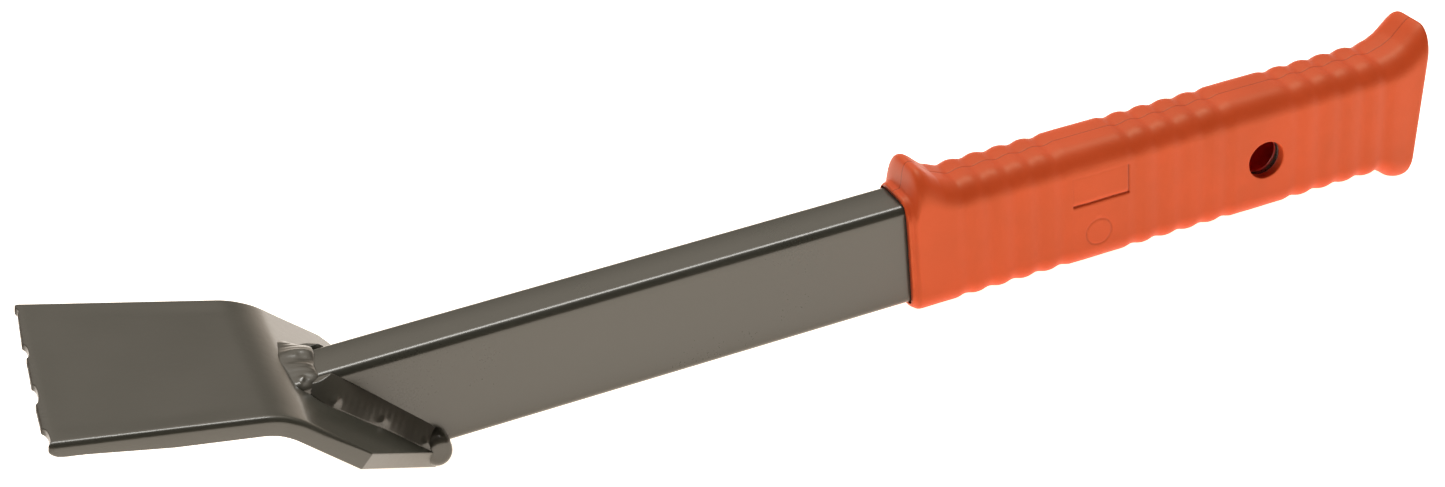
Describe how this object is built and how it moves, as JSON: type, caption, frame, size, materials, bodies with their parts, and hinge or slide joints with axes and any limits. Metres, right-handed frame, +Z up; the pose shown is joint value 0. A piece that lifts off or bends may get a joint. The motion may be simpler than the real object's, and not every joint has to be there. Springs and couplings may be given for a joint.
{
  "type": "notched trowel",
  "caption": "Cranked steel scraper blade with a notched front edge, welded to a rectangular tube shank with a ribbed moulded grip and a hanging hole.",
  "frame": {"origin": "on the ground plane under the middle of the tool's box, the tube shank level", "axes": "+X along the shank from the blade to the grip, +Z up, square to the shank's narrow side, -Y the side that carries the grip's raised panel"},
  "size_m": [0.3862, 0.0686, 0.0563],
  "materials": {
    "painted_steel": "glossy dark olive-grey dip paint over plain steel",
    "painted_weld": "the same paint, run thick over the weld beads",
    "orange_grip": "soft orange moulded plastic with a satin skin"
  },
  "bodies": {
    "root": {"blade_plate": "painted_steel", "shank_tube": "painted_steel", "toe_weld": "painted_weld", "side_weld_near": "painted_weld", "side_weld_far": "painted_weld", "heel_weld": "painted_weld", "grip": "orange_grip"}
  },
  "joints": []
}
